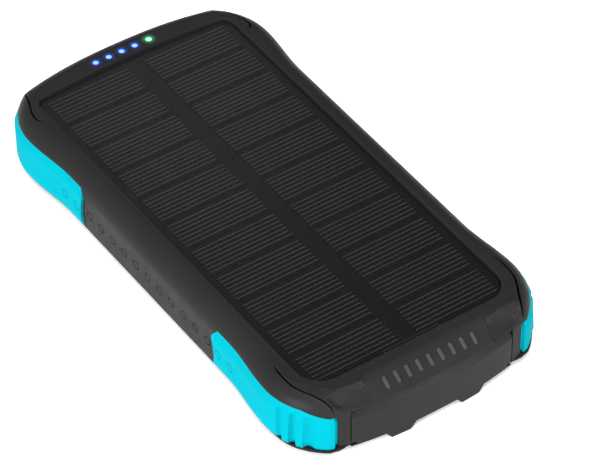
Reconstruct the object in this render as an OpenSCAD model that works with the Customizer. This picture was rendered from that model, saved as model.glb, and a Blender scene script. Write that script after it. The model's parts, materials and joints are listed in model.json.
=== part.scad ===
// Rugged solar phone charger: a waisted two-part case with corner bumpers, a solar panel in
// its top face, two flat battery cells, and a hinged flap over the charging sockets.
// Origin at the middle of the foot plane, +Z up, +Y towards the indicator lights,
// -Y towards the sockets. Millimetres.

/* [Case] */
// Length of the case over both bowed ends
body_length = 162.6; // [160:0.2:166]
// Width of the straight waist
waist_width = 79.6; // [78:0.2:81]
// Width over the flared corners
flare_width = 84; // [83:0.2:86]
// Height of the flat rim round the panel, above the surface it stands on
top_z = 20.75; // [20.5:0.05:22]
// Height of the case floor above the surface, which the feet bridge
floor_z = 2; // [1.8:0.1:2.2]
// Radius of the long rounded upper edge
edge_r = 6; // [5:0.25:6.5]
// Thickness of the case wall
wall = 2.6; // [2.4:0.1:2.8]
// Half-length of the straight waist, before the flare begins
flare_start = 40; // [36:1:44]
// Distance of the widest point of each flare from the middle
flare_y = 60; // [58:0.5:61]
// Radius of the flared corner
corner_r = 21.5; // [20:0.5:23]
// Angle of the flared corner's arc, up to the sharp turn on to the end face
corner_a = 54.5; // [52:0.5:56]

/* [Bumpers] */
// Depth of the pocket that each bumper fills
bumper_depth = 1.3; // [1:0.1:1.4]
// How far a bumper stands proud of the wall
bumper_proud = 0.25; // [0.1:0.05:0.4]
// Distance from the middle at which a bumper begins on the long side
bumper_y = 33.5; // [32:0.5:36]
// Distance from the middle at which a bumper ends on the end face
bumper_x = 30.1; // [29.8:0.1:31]
// Height of the bumpers' upper edge
bumper_top = 16.8; // [16.2:0.1:17]

/* [Solar panel] */
// Rows of cells
cell_rows = 11; // [6:1:12]
// Distance from one row of cells to the next
row_pitch = 12.505; // [11:0.005:12.6]
// Length of one cell across the panel
cell_w = 27.4; // [26:0.1:27.8]
// Gap between the two columns of cells
column_gap = 5.4; // [5:0.1:7]
// Half-width of the recess that holds the panel
panel_half_w = 33; // [32.5:0.1:33.2]
// Recess edge at the socket end, from the middle
panel_near_y = 70.4; // [70:0.1:71]
// Recess edge at the light end, from the middle, at its corners
panel_far_y = 69.5; // [69:0.1:70]

/* [Port flap] */
// Half-width of the flap
flap_half_w = 26.4; // [26.2:0.1:26.6]
// Height of the flap's upper edge
flap_top = 15.4; // [15:0.1:15.5]
// Thickness of the flap
flap_t = 2; // [1.8:0.1:2.2]
// Radius of the hinge pin
pin_r = 0.6; // [0.5:0.05:0.7]

/* [Button and lights] */
// Length of the power button
button_l = 11; // [9:0.5:13]
// Height of the power button
button_h = 4.6; // [4:0.2:5.4]
// Distance between indicator lights
light_pitch = 4.45; // [4:0.05:4.6]

/* [Hidden] */
$fn = 48;
half_l = body_length / 2;
half_w = flare_width / 2;
split_z = 3.6;                          // joint face between top case and rear cover
ceiling_z = 16.9;                       // underside of the plate below the panel
recess_z = 18.2;                        // floor of the panel recess
panel_z = top_z - 0.5;                  // face of the panel
edge_z = top_z - edge_r;                // where the rounded upper edge begins
far = 100;                              // reach of cutting shapes, beyond the case

board_z = 4.8;
board_t = 1.6;
board_top = board_z + board_t;
screw_at = [31.5, 67];
boss_z = 5.6;                           // meeting height of the screw bosses
battery_y = [-48, 63];
battery_w = 64;
battery_t = 5.9;
battery_z = 4;
foam_t = 0.6;

bay_half_w = 26.8;                      // half-width of the socket bay
bay_top = 15.9;
bay_in = 3;                             // depth of the bay behind the end face
frame_y = -72.8;                        // inner face of the port frame
hinge_y = -half_l + 2.6;
hinge_z = 3.3;
lug_x = [6.7, 16.2];                    // the two hinge lugs, mirrored about the middle
ear_x = [16.5, 18.6];
ear_r = 1.1;
ear_room = 0.15;                        // clearance round the ears in the flap
lug_gap = 0.3;

usb_a_x = 18.6;
usb_c_x = -4.9;
micro_x = 5.4;
usb_a_size = [13.2, 14, 5.8];
usb_c_size = [8.94, 7.3, 3.2];
micro_size = [7.6, 5.6, 2.9];
usb_a_y = -76.2;
small_usb_y = -78;

ring_pitch = 6;
ring_z = 9.65;
ring_r = 1.5;
light_y = 73.8;
light_x = -9.7;

black = [0.2, 0.2, 0.21];
turquoise = [0, 0.85, 0.9];
steel = [0.75, 0.76, 0.78];
green_board = [0.05, 0.3, 0.15];
copper = [0.8, 0.5, 0.25];

// ---- Outline of the case, seen from above ----

function ease(t) = let (c = min(max(t, 0), 1)) c * c * (3 - 2 * c);
function side_x(y) = waist_width / 2
    + (flare_width - waist_width) / 2 * ease((y - flare_start) / (flare_y - flare_start));
corner_c = [half_w - corner_r, flare_y];
corner_p = corner_c + corner_r * [cos(corner_a), sin(corner_a)];
function end_y(x) = half_l - (half_l - corner_p.y) * pow(abs(x) / corner_p.x, 2.4);

// One quarter, from the end of the straight waist to the middle of the end face
flare_steps = 5;
arc_steps = 6;
end_steps = 6;
quarter = concat(
    [for (i = [0:flare_steps - 1])
        let (y = flare_start + (flare_y - flare_start) * i / flare_steps) [side_x(y), y]],
    [for (i = [0:arc_steps])
        let (a = corner_a * i / arc_steps) corner_c + corner_r * [cos(a), sin(a)]],
    [for (i = [1:end_steps])
        let (x = corner_p.x * (1 - i / end_steps)) [x, end_y(x)]]);
last = len(quarter) - 1;
outline = concat(
    quarter,
    [for (i = [last - 1:-1:0]) [-quarter[i].x, quarter[i].y]],
    [for (i = [0:last]) [-quarter[i].x, -quarter[i].y]],
    [for (i = [last - 1:-1:0]) [quarter[i].x, -quarter[i].y]]);
count = len(outline);

function edge_normal(i) = let (
    a = outline[(i + count) % count],
    b = outline[(i + 1) % count],
    d = (b - a) / norm(b - a)) [d.y, -d.x];
mitres = [for (i = [0:count - 1])
    let (p = edge_normal(i - 1), q = edge_normal(i)) (p + q) / (1 + p * q)];
// The outline moved inwards by d
function ring(d) = [for (i = [0:count - 1]) outline[i] - d * mitres[i]];

// The flat end of a loft, as strips from side to side, whose first point is number base
function strips(base) = let (m = 2 * last) [for (face = concat(
    [for (i = [0:last - 2]) [i, i + 1, m - i - 1, m - i]],
    [[last - 1, last, last + 1], [2 * m + 1, 0, m, m + 1]],
    [for (i = [0:last - 2]) [m + 1 + i, m + 2 + i, 2 * m - i, 2 * m + 1 - i]],
    [[m + last, m + last + 1, m + last + 2]])) [for (p = face) p + base]];
function reversed(face) = [for (i = [len(face) - 1:-1:0]) face[i]];

// Share of the skirt's flare at a place on the outline: all of it at the socket end's corners
function skirt(p) = p.y > 0 ? 0 : ease((-p.y - 62) / 9) * ease((abs(p.x) - 27) / 3);

// A solid through the outline at several levels, each [height, inset, flare]
module loft(levels) {
    rows = len(levels);
    points = [for (level = levels) for (i = [0:count - 1])
        let (flare = len(level) > 2 ? level[2] * skirt(outline[i]) : 0,
             p = outline[i] - (level[1] - flare) * mitres[i]) [p.x, p.y, level[0]]];
    sides = [for (j = [0:rows - 2]) for (i = [0:count - 1])
        let (n = (i + 1) % count)
            [j * count + i, (j + 1) * count + i, (j + 1) * count + n, j * count + n]];
    polyhedron(points, concat(
        strips(0), sides, [for (face = strips((rows - 1) * count)) reversed(face)]));
}

module slab(z0, z1, inset = 0)
    translate([0, 0, z0]) linear_extrude(z1 - z0) polygon(ring(inset));

// A wall that follows the outline between two insets
module band(z0, z1, outer, inner) difference() {
    slab(z0, z1, outer);
    slab(z0 - 1, z1 + 1, inner);
}

module box(x, y, z)
    translate([x[0], y[0], z[0]]) cube([x[1] - x[0], y[1] - y[0], z[1] - z[0]]);

module both_sides() {
    children();
    mirror([1, 0, 0]) children();
}

module four_corners(p)
    for (sx = [-1, 1], sy = [-1, 1]) translate([sx * p.x, sy * p.y, 0]) children();

// A rod along X between two places
module rod(x, r) translate([x[0], 0, 0]) rotate([0, 90, 0]) cylinder(h = x[1] - x[0], r = r);

module stadium(l, h) {
    square([l - h, h], center = true);
    for (s = [-1, 1]) translate([s * (l - h) / 2, 0]) circle(d = h);
}

// ---- Case ----

// Recess outline: straight sides, large corners at the socket end, a bowed light end
near_corner = 8;
far_corner = 3;
far_bow = 1.5;
function arc(c, r, a0, a1, n) = [for (i = [0:n])
    let (a = a0 + (a1 - a0) * i / n) c + r * [cos(a), sin(a)]];
function panel_shape(d) = let (w = panel_half_w - d, n = panel_near_y - d, f = panel_far_y - d)
    concat(
        arc([-w + near_corner, -n + near_corner], near_corner, 180, 270, 6),
        arc([w - near_corner, -n + near_corner], near_corner, 270, 360, 6),
        arc([w - far_corner, f - far_corner], far_corner, 0, 80, 4),
        [for (i = [1:7]) let (t = 1 - i / 4) [t * (w - far_corner), f + far_bow * (1 - t * t)]],
        arc([-w + far_corner, f - far_corner], far_corner, 100, 180, 4));

module panel_sheet(z0, z1, d) translate([0, 0, z0]) linear_extrude(z1 - z0) polygon(panel_shape(d));

// Curved groove beside each corner, between the flat rim and the shoulder
groove_c = [10.5, 61.5];
groove_r = 26;
groove_w = 0.7;
groove_floor = 17.8;
module corner_groove() translate([0, 0, groove_floor]) linear_extrude(far)
    polygon(concat(
        arc(groove_c, groove_r + groove_w / 2, -10, 48, 14),
        arc(groove_c, groove_r - groove_w / 2, 48, -10, 14)));

// The sloped lip above the sockets
lip_half_w = 29;
lip_top_y = 75;
lip_low = [half_l - 0.7, bay_top + 0.35];
module lip_cut() rotate([90, 0, 90]) linear_extrude(2 * lip_half_w, center = true)
    polygon([[-lip_top_y, top_z], [-lip_low.x, lip_low.y], [-far, lip_low.y],
             [-far, top_z + 1], [-lip_top_y, top_z + 1]]);

// A shallow panel of plain upright ribs in the middle of the lip
rib_count = 9;
rib_pitch = 3.6;
module lip_ribs() translate([0, -lip_low.x, lip_low.y])
    rotate([atan2(top_z - lip_low.y, lip_low.x - lip_top_y), 0, 0])
        for (i = [0:rib_count - 1]) translate([(i - (rib_count - 1) / 2) * rib_pitch, 3.3, 0])
            linear_extrude(0.5, center = true) rotate(90) stadium(3.8, 1);

// A thin circular groove in an upright side face
module ring_mark(y, face_x) translate([face_x, y, ring_z]) rotate([0, 90, 0]) difference() {
    cylinder(h = 0.5, r = ring_r, center = true);
    cylinder(h = 1, r = ring_r - 0.4, center = true);
}

// Button and light holes have this much room round what passes through them
button_room = 0.2;
light_r = 0.85;
light_room = 0.05;

module top_case() color(black) {
    lip_ribs();
    screw_r = 1.02;
    boss_r = 2.7;
    difference() {
        union() {
            difference() {
                union() {
                    slab(split_z, edge_z);
                    loft([for (a = [0:15:90])
                        [edge_z + edge_r * sin(a), edge_r * (1 - cos(a))]]);
                }
                slab(0, ceiling_z, wall);
            }
            four_corners(screw_at) translate([0, 0, boss_z])
                cylinder(h = ceiling_z + 0.5 - boss_z, r = boss_r);
        }
        for (i = [-5:5]) ring_mark(i * ring_pitch, -waist_width / 2);
        for (i = [-5:5]) if (abs(i) > 1) ring_mark(i * ring_pitch, waist_width / 2);
        panel_sheet(recess_z, top_z + 1, 0);
        for (sx = [0, 1], sy = [0, 1]) mirror([sx, 0, 0]) mirror([0, sy, 0]) corner_groove();
        lip_cut();
        box([-bay_half_w, bay_half_w], [-far, frame_y], [0, bay_top]);
        bumper_pockets();
        four_corners(screw_at) translate([0, 0, boss_z - 1]) cylinder(h = 8, r = screw_r);
        for (i = [0:4]) translate([light_place(i), light_y, ceiling_z - 1])
            cylinder(h = 6, r = light_r + light_room);
        translate([-24, -54, ceiling_z - 1]) cylinder(h = 4, r = 2);
        translate([waist_width / 2 - 5, 0, ring_z]) rotate([90, 0, 90])
            linear_extrude(8) stadium(button_l + 2 * button_room, button_h + 2 * button_room);
    }
}

module bumper_region(z0, z1, extra = 0)
    box([bumper_x + extra, far], [bumper_y + extra, far], [z0, z1]);

// Towards the end face the shoulder of the case comes down over the bumper
shoulder_y = 71.7;
shoulder_drop = 0.28;
module shoulder(room) rotate([90, 0, 90]) linear_extrude(far)
    polygon([[shoulder_y, bumper_top + room], [far, bumper_top + room - shoulder_drop
        * (far - shoulder_y)], [far, far], [shoulder_y, far]]);

module bumper_pockets() for (sx = [0, 1], sy = [0, 1]) mirror([sx, 0, 0]) mirror([0, sy, 0])
    difference() {
        intersection() {
            band(0, bumper_top + 0.1, -2, bumper_depth);
            bumper_region(0, bumper_top + 0.1);
        }
        shoulder(0.05);
    }

module rear_cover() color(black) {
    lip_h = 1.2;
    plate_in = 0.15;
    skirt_flare = 0.9;
    flap_cut_y = hinge_y + 2.9;
    lug_cut_y = hinge_y + 3.9;
    difference() {
        union() {
            loft([[floor_z, plate_in + 1.1, skirt_flare], [floor_z + 0.35, plate_in + 0.45, skirt_flare],
                  [floor_z + 1, plate_in, skirt_flare], [split_z, plate_in, skirt_flare]]);
            difference() {
                band(split_z - 0.5, split_z + lip_h, wall + 0.2, wall + 1.4);
                box([-33, 33], [-far, frame_y + 0.3], [0, far]);
            }
            four_corners(screw_at) translate([0, 0, split_z - 0.5])
                cylinder(h = boss_z - split_z + 0.5, r = 3);
        }
        box([-bay_half_w, bay_half_w], [-far, flap_cut_y], [0, far]);
        both_sides() box([lug_x[0] - lug_gap, lug_x[1] + lug_gap], [-far, lug_cut_y], [0, far]);
        gasket_shape(split_z - 0.6, 1.6, 2.3, far);
        four_corners(screw_at) {
            translate([0, 0, floor_z - 1]) cylinder(h = 1.55, r = foot_r + 0.05);
            translate([0, 0, floor_z]) cylinder(h = 1.95, r = 2.1);
            translate([0, 0, floor_z]) cylinder(h = 6, r = 1.1);
        }
    }
}

// The seal's ring: it runs inside the wall, and straight across behind the socket bay
seal_y = frame_y - 1;
module gasket_shape(z0, outer, inner, height) difference() {
    intersection() {
        slab(z0, z0 + height, outer);
        box([-far, far], [seal_y - 0.7, far], [z0 - 1, z0 + height + 1]);
    }
    intersection() {
        slab(z0 - 1, z0 + height + 1, inner);
        box([-far, far], [seal_y, far], [z0 - 2, z0 + height + 2]);
    }
}

module case_gasket() color("dimgray") gasket_shape(split_z - 0.6, 1.6, 2.3, 0.6);

foot_r = 4.5;
module case_screws() color(steel) four_corners(screw_at) difference() {
    union() {
        translate([0, 0, floor_z + 0.6]) cylinder(h = 1.3, r = 1.9);
        translate([0, 0, floor_z + 1]) cylinder(h = 9.5, r = 1);
    }
    for (a = [0, 90]) rotate(a) translate([0, 0, floor_z + 0.6])
        cube([2.2, 0.45, 1.2], center = true);
}

module rubber_feet() color("#303030") four_corners(screw_at) difference() {
    cylinder(h = floor_z + 0.5, r = foot_r);
    translate([0, 0, -1]) cylinder(h = 1.4, r = 2.6);
}

// ---- Corner bumpers ----

module bumper(sx, sy) color(turquoise) {
    low = 3.75;
    bevel = 0.9;
    grooves = 3;
    mirror([sx, 0, 0]) mirror([0, sy, 0]) difference() {
        union() {
            intersection() {
                difference() {
                    union() {
                        slab(low, bumper_top - bevel, -bumper_proud);
                        loft([[bumper_top - bevel, -bumper_proud], [bumper_top, 0.35]]);
                    }
                    slab(0, far, bumper_depth - 0.05);
                }
                bumper_region(0, far, 0.1);
            }
            if (sy == 1) thick_ribs(low, grooves);
        }
        for (i = [6:7]) ring_mark(i * ring_pitch, side_x(i * ring_pitch) + bumper_proud);
        shoulder(-0.05);
        end_chamfer();
        // upright grip grooves round the corner
        for (i = [0:grooves - 1]) {
            a = groove_angle(i);
            translate(corner_c + (corner_r + bumper_proud + 0.9) * [cos(a), sin(a)])
                rotate(a) box([-1.4, 0], [-0.7, 0.7], [low - 1, bumper_top - 2.2]);
        }
    }
}

function groove_angle(i) = 16 + 11 * i;

// The end of a bumper slopes into its pocket, so that the edge beside the flap can't catch
chamfer_w = 1.4;
chamfer_in = 1;
module end_chamfer() let (
    a = [bumper_x, end_y(bumper_x) - chamfer_in],
    b = [bumper_x + chamfer_w, end_y(bumper_x + chamfer_w) + bumper_proud + 0.05])
    linear_extrude(far) polygon([2 * a - b, b, [b.x, far], [2 * a.x - b.x, far]]);

// At the socket end the ribs between the grooves grow thicker towards the bottom
module thick_ribs(low, grooves) {
    flare = 0.85;
    rib_top = 12.5;
    intersection() {
        difference() {
            loft([[low, -bumper_proud - flare], [rib_top, -bumper_proud]]);
            slab(0, far, 0.5);
        }
        for (i = [1:grooves]) translate(corner_c) rotate(groove_angle(i - 0.5))
            box([0, far], [-1.25, 1.25], [0, far]);
    }
}

module bumper_near_left() bumper(1, 1);
module bumper_near_right() bumper(0, 1);
module bumper_far_left() bumper(1, 0);
module bumper_far_right() bumper(0, 0);

// ---- Solar panel ----

cell_t = 0.22;
cell_z = 19.4;
cell_gap = 0.6;

module panel_tape() color("whitesmoke") difference() {
    panel_sheet(recess_z, recess_z + 0.2, 0.8);
    panel_sheet(recess_z - 1, recess_z + 1, 5);
}

module panel_board() color([0.07, 0.08, 0.1]) panel_sheet(recess_z + 0.2, cell_z, 0.3);

module solar_cells() color([0.1, 0.1, 0.14])
    for (row = [0:cell_rows - 1], side = [-1, 1])
        translate([side * (column_gap + cell_w) / 2, (row - (cell_rows - 1) / 2) * row_pitch, cell_z])
            translate([-cell_w / 2, -(row_pitch - cell_gap) / 2, 0])
                cube([cell_w, row_pitch - cell_gap, cell_t]);

module panel_cover() color([0.3, 0.3, 0.4, 0.35])
    panel_sheet(cell_z + cell_t, panel_z, 0.3);

lead_at = [-24, -54];
module panel_leads() color("red") for (s = [-1, 1])
    translate([lead_at.x + 0.8 * s, lead_at.y, board_top])
        cylinder(h = recess_z + 0.2 - board_top, r = 0.55);

// ---- Batteries ----

module cell(z) difference() {
    box([-battery_w / 2, battery_w / 2], battery_y, [z, z + battery_t]);
    // the sealed edge of the pouch is thinner than its body
    for (s = [-1, 1]) box([s * battery_w / 2 - 1.5, s * battery_w / 2 + 1.5],
        [battery_y[0] - 1, battery_y[1] + 1], [z + battery_t - 1.2, z + battery_t + 1]);
}
module battery_lower() color("silver") cell(battery_z);
module battery_upper() color("silver") cell(battery_z + battery_t + foam_t);
module battery_foam() color("gray")
    box([-28, 28], [battery_y[0] + 6, battery_y[1] - 6],
        [battery_z + battery_t, battery_z + battery_t + foam_t]);
module battery_protection_board() color(green_board)
    box([-20, 20], [battery_y[0] - 1.4, battery_y[0]], [battery_z + 4.2, battery_z + 11.5]);
module battery_leads() color("red") for (x = [-12, -9])
    translate([x, battery_y[0] - 4.4, board_top]) {
        cylinder(h = lead_h, r = lead_r);
        translate([0, 0, lead_h]) sphere(r = lead_r);
        translate([0, 0, lead_h]) rotate([-90, 0, 0]) cylinder(h = 3, r = lead_r);
    }
lead_h = 2.6;
lead_r = 0.6;

// ---- Electronics ----

module main_board() color(green_board)
    box([-28, 28], [frame_y + 0.3, battery_y[0] - 2], [board_z, board_top]);

module board_chips() color([0.1, 0.1, 0.1]) {
    box([-6, -1], [-62, -57], [board_top, board_top + 1]);
    box([2, 7], [-62, -58], [board_top, board_top + 1]);
    box([10, 14], [-60, -56], [board_top, board_top + 0.9]);
    for (i = [0:3]) box([-20 + 3 * i, -18.2 + 3 * i], [-58, -55], [board_top, board_top + 1.2]);
}

module power_inductor() color("#3a3a3a") translate([0, -66.5, board_top]) difference() {
    translate([-4, -3, 0]) cube([8, 6, 3.4]);
    translate([0, 0, 3]) cylinder(h = 1, r = 2.2);
}

module usb_a_shell(side) color(steel) translate([side * usb_a_x, usb_a_y, board_top])
    difference() {
        box([-usb_a_size.x / 2, usb_a_size.x / 2], [0, usb_a_size.y], [0, usb_a_size.z]);
        box([-6.25, 6.25], [-1, usb_a_size.y - 0.4], [0.35, usb_a_size.z - 0.35]);
    }
module usb_a_shell_left() usb_a_shell(-1);
module usb_a_shell_right() usb_a_shell(1);

module usb_a_inserts() color("white") both_sides() translate([usb_a_x, usb_a_y, board_top]) {
    box([-5.6, 5.6], [0.9, 10], [3.2, 5.1]);
    box([-6.2, 6.2], [9.5, 13.5], [0.4, 5.4]);
    for (i = [-1.5:1.5]) box([i * 2.2 - 0.5, i * 2.2 + 0.5], [1.6, 9], [3.05, 3.3]);
}

module usb_c_shell() color(steel) translate([usb_c_x, small_usb_y, board_top + 1.6])
    rotate([-90, 0, 0]) difference() {
        linear_extrude(usb_c_size.y) stadium(usb_c_size.x, usb_c_size.z);
        translate([0, 0, -1]) linear_extrude(usb_c_size.y + 0.6)
            stadium(usb_c_size.x - 0.6, usb_c_size.z - 0.6);
    }
module usb_c_insert() color([0.1, 0.1, 0.1]) translate([usb_c_x, small_usb_y, board_top + 1.6]) {
    box([-3.35, 3.35], [0.7, 5.6], [-0.35, 0.35]);
    box([-3.6, 3.6], [5, 6.7], [-1.1, 1.1]);
}

module micro_profile(d) polygon([[-3.8 + d, 2.9 - d], [3.8 - d, 2.9 - d], [3.8 - d, 1.5],
    [2.9 - d / 2, d], [-2.9 + d / 2, d], [-3.8 + d, 1.5]]);
module micro_usb_shell() color(steel) translate([micro_x, small_usb_y + micro_size.y, board_top])
    rotate([90, 0, 0]) difference() {
        linear_extrude(micro_size.y) micro_profile(0);
        translate([0, 0, 0.4]) linear_extrude(micro_size.y) micro_profile(0.3);
    }
module micro_usb_insert() color([0.1, 0.1, 0.1])
    translate([micro_x, small_usb_y, board_top]) {
        box([-2, 2], [0.8, 4.4], [1.7, 2.3]);
        box([-2.6, 2.6], [4, 5.15], [0.6, 2.5]);
    }

module port_frame() color(black) {
    room = 0.15;
    difference() {
        union() {
            intersection() {
                slab(split_z + 0.1, bay_top - 0.1, bay_in);
                box([-bay_half_w + 0.2, bay_half_w - 0.2], [-far, frame_y], [0, far]);
            }
            // hinge ears under the front edge
            translate([0, hinge_y, hinge_z]) {
                rod([-lug_x[0] + lug_gap, lug_x[0] - lug_gap], ear_r);
                both_sides() rod(ear_x, ear_r);
            }
            ear_block([-lug_x[0] + lug_gap, lug_x[0] - lug_gap]);
            both_sides() ear_block(ear_x);
        }
        both_sides() translate([0, hinge_y, hinge_z])
            rod([lug_x[0] - lug_gap, lug_x[1] + lug_gap], ear_r + 0.25);
        translate([0, hinge_y, hinge_z]) rod([-far, far], pin_r + 0.03);
        both_sides() translate([usb_a_x, -far, board_top])
            box([-usb_a_size.x / 2 - room, usb_a_size.x / 2 + room], [0, far],
                [-room, usb_a_size.z + room]);
        translate([usb_c_x, -far, board_top + 1.6]) rotate([-90, 0, 0]) linear_extrude(far)
            stadium(usb_c_size.x + 2 * room, usb_c_size.z + 2 * room);
        translate([micro_x, 0, board_top]) rotate([90, 0, 0]) linear_extrude(far)
            micro_profile(-room);
    }
}
module ear_block(x) box(x, [hinge_y, hinge_y + 2.2], [hinge_z, hinge_z + 1.4]);

// ---- Indicator lights ----

function light_place(i) = light_x + light_pitch * i + (i == 4 ? 0.4 : 0);

led_z = 14.4;
module led_board() color(green_board) box([-16, 16], [70, 77], [led_z - 1, led_z]);
module led_chips() color("white") for (i = [0:4])
    box([light_place(i) - 0.8, light_place(i) + 0.8], [light_y - 0.6, light_y + 0.6],
        [led_z, led_z + 0.8]);
module lens(i) translate([light_place(i), light_y, led_z + 1]) {
    cylinder(h = ceiling_z - led_z - 1.05, r = light_r + 0.5);
    cylinder(h = top_z - led_z - 1, r = light_r);
}
module indicator_lenses_blue() color([0.2, 0.4, 1]) for (i = [0:3]) lens(i);
module indicator_lens_green() color([0.2, 1, 0.4]) lens(4);

// Flat cable from the light board, over the cells, down to the main board
cable_t = 0.15;
cable_w = 6;
cable_z = 16.6;
cable_near_y = -54;
cable_far_y = 69.4;
cable_end_z = led_z - 0.6;
module led_cable() color(copper) translate([8, 0, 0]) rotate([90, 0, 90]) linear_extrude(cable_w)
    polygon([[cable_near_y, board_top], [cable_near_y, cable_z],
             [cable_far_y - cable_t, cable_z], [cable_far_y - cable_t, cable_end_z],
             [70, cable_end_z], [70, cable_end_z + cable_t],
             [cable_far_y, cable_end_z + cable_t], [cable_far_y, cable_z + cable_t],
             [cable_near_y - cable_t, cable_z + cable_t], [cable_near_y - cable_t, board_top]]);

// ---- Port flap ----

foot_low = 0.3;
window_h = 1.75;
module port_flap() color([0.24, 0.24, 0.25]) difference() {
    union() {
        intersection() {
            difference() {
                loft([[hinge_z - 1.1, 0.25], [hinge_z - 0.7, 0], [flap_top - 2.6, 0],
                      [flap_top, 1.4]]);
                slab(0, far, flap_t);
            }
            box([-flap_half_w, flap_half_w], [-far, 0], [0, far]);
        }
        both_sides() translate([0, hinge_y, hinge_z]) rod(lug_x, ear_r - 0.05);
        // the lower tab of each lug, level with the outside of the flap
        intersection() {
            both_sides() translate([0, hinge_y - 0.4, 0]) rotate([90, 0, 0]) linear_extrude(far)
                polygon([[8.5, foot_low], [14.4, foot_low], [lug_x[1], 2.4], [lug_x[1], hinge_z],
                         [lug_x[0], hinge_z], [lug_x[0], 2.4]]);
            slab(0, far, 0);
        }
    }
    translate([0, hinge_y, hinge_z]) {
        rod([-far, far], pin_r + 0.05);
        rod([-lug_x[0], lug_x[0]], ear_r + ear_room);
        both_sides() rod([ear_x[0] - lug_gap, ear_x[1] + lug_gap], ear_r + ear_room);
    }
    box([-lug_x[0], lug_x[0]], [hinge_y - 0.1, 0], [0, hinge_z + window_h]);
    both_sides() box([ear_x[0] - lug_gap, ear_x[1] + lug_gap], [hinge_y - 0.1, 0],
        [0, hinge_z + window_h]);
}

module flap_seal() color("dimgray") difference() {
    intersection() {
        band(6.2, flap_top - 0.5, flap_t, flap_t + 0.8);
        box([-flap_half_w + 0.8, flap_half_w - 0.8], [-far, 0], [0, far]);
    }
    box([-flap_half_w + 2.4, flap_half_w - 2.4], [-far, 0], [7.4, flap_top - 1.7]);
}

module flap_hinge_pin() color(steel) translate([0, hinge_y, hinge_z])
    rod([-ear_x[1] + 0.2, ear_x[1] - 0.2], pin_r);

// ---- Power button ----

module power_button() color([0.16, 0.16, 0.17]) translate([0, 0, ring_z]) rotate([90, 0, 90]) {
    face = waist_width / 2;
    translate([0, 0, face - wall - 0.9]) linear_extrude(0.7) stadium(button_l + 2, button_h + 1.6);
    translate([0, 0, face - wall - 0.3]) linear_extrude(wall + 0.5) stadium(button_l, button_h);
    translate([0, 0, face + 0.1]) linear_extrude(0.3) stadium(button_l - 0.8, button_h - 0.8);
}

switch_x = 34.6;
plunger_r = 0.8;
module switch_plunger() color([0.7, 0.2, 0.15]) translate([0, 0, ring_z])
    rod([switch_x - 0.6, waist_width / 2 - wall - 0.9], plunger_r);
module button_switch() color([0.1, 0.1, 0.1]) difference() {
    box([switch_x - 1.8, switch_x + 0.8], [-3, 3], [ring_z - 3, ring_z + 3]);
    translate([0, 0, ring_z]) rod([switch_x - 1.4, far], plunger_r + 0.06);
}
module button_board() color(green_board)
    box([switch_x - 2.4, switch_x - 1.8], [-9, 9], [split_z + 0.6, 15.5]);

top_case();
rear_cover();
case_gasket();
case_screws();
rubber_feet();
bumper_near_left();
bumper_near_right();
bumper_far_left();
bumper_far_right();
panel_tape();
panel_board();
solar_cells();
panel_cover();
panel_leads();
battery_upper();
battery_lower();
battery_foam();
battery_protection_board();
battery_leads();
main_board();
board_chips();
power_inductor();
port_frame();
usb_a_shell_left();
usb_a_shell_right();
usb_a_inserts();
usb_c_shell();
usb_c_insert();
micro_usb_shell();
micro_usb_insert();
led_board();
led_chips();
led_cable();
indicator_lenses_blue();
indicator_lens_green();
port_flap();
flap_seal();
flap_hinge_pin();
power_button();
switch_plunger();
button_switch();
button_board();
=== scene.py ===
import json
import math

import bmesh
import bpy
from mathutils import Matrix, Vector


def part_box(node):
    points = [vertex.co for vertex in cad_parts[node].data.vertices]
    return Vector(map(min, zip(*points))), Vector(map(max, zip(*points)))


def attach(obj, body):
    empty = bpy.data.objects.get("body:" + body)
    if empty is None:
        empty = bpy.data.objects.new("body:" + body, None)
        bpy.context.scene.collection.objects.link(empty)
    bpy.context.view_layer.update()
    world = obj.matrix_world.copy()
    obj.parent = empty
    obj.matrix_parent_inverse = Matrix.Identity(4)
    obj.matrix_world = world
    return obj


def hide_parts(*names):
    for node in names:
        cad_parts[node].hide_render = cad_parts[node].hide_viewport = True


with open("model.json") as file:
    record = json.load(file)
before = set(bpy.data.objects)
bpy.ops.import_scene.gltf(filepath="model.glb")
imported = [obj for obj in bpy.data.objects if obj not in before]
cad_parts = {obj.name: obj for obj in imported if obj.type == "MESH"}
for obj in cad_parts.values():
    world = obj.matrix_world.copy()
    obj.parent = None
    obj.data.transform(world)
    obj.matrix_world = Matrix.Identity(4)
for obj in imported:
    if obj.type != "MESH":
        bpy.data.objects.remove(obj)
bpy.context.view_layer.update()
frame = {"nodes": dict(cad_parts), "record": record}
scene = bpy.context.scene
MM = 0.001

# ---- Camera: the pose that the object is seen from ----

camera = bpy.data.objects.new("camera", bpy.data.cameras.new("camera"))
camera.data.lens = 216
camera.data.sensor_width = 36
camera.data.clip_end = 20
right = Vector((0.82416, -0.56627, -0.00960))
down = Vector((-0.39591, -0.56393, -0.72473))
ahead = Vector((0.40498, 0.60110, -0.68896))
turn = Matrix((right, -down, -ahead)).transposed()
camera.matrix_world = Matrix.Translation((-0.4024, -0.6138, 0.70335)) @ turn.to_4x4()
scene.collection.objects.link(camera)
scene.camera = camera

# ---- Sizes, in millimetres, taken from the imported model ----


def box_mm(node):
    """The low and the high corner of a CAD node."""
    return [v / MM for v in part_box(node)]


case_lo, case_hi = box_mm("top_case")
bumper_lo, bumper_hi = box_mm("bumper_far_right")
lens_lo, lens_hi = box_mm("indicator_lenses_blue")
green_lo, green_hi = box_mm("indicator_lens_green")
button_lo, button_hi = box_mm("power_button")
cover_lo = box_mm("rear_cover")[0]
flap_hi = box_mm("port_flap")[1]
cells_hi = box_mm("solar_cells")[1]
resin_hi = box_mm("panel_cover")[1]
frame_hi = box_mm("port_frame")[1]
screw_hi = box_mm("case_screws")[1]
feet_hi = box_mm("rubber_feet")[1]

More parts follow.
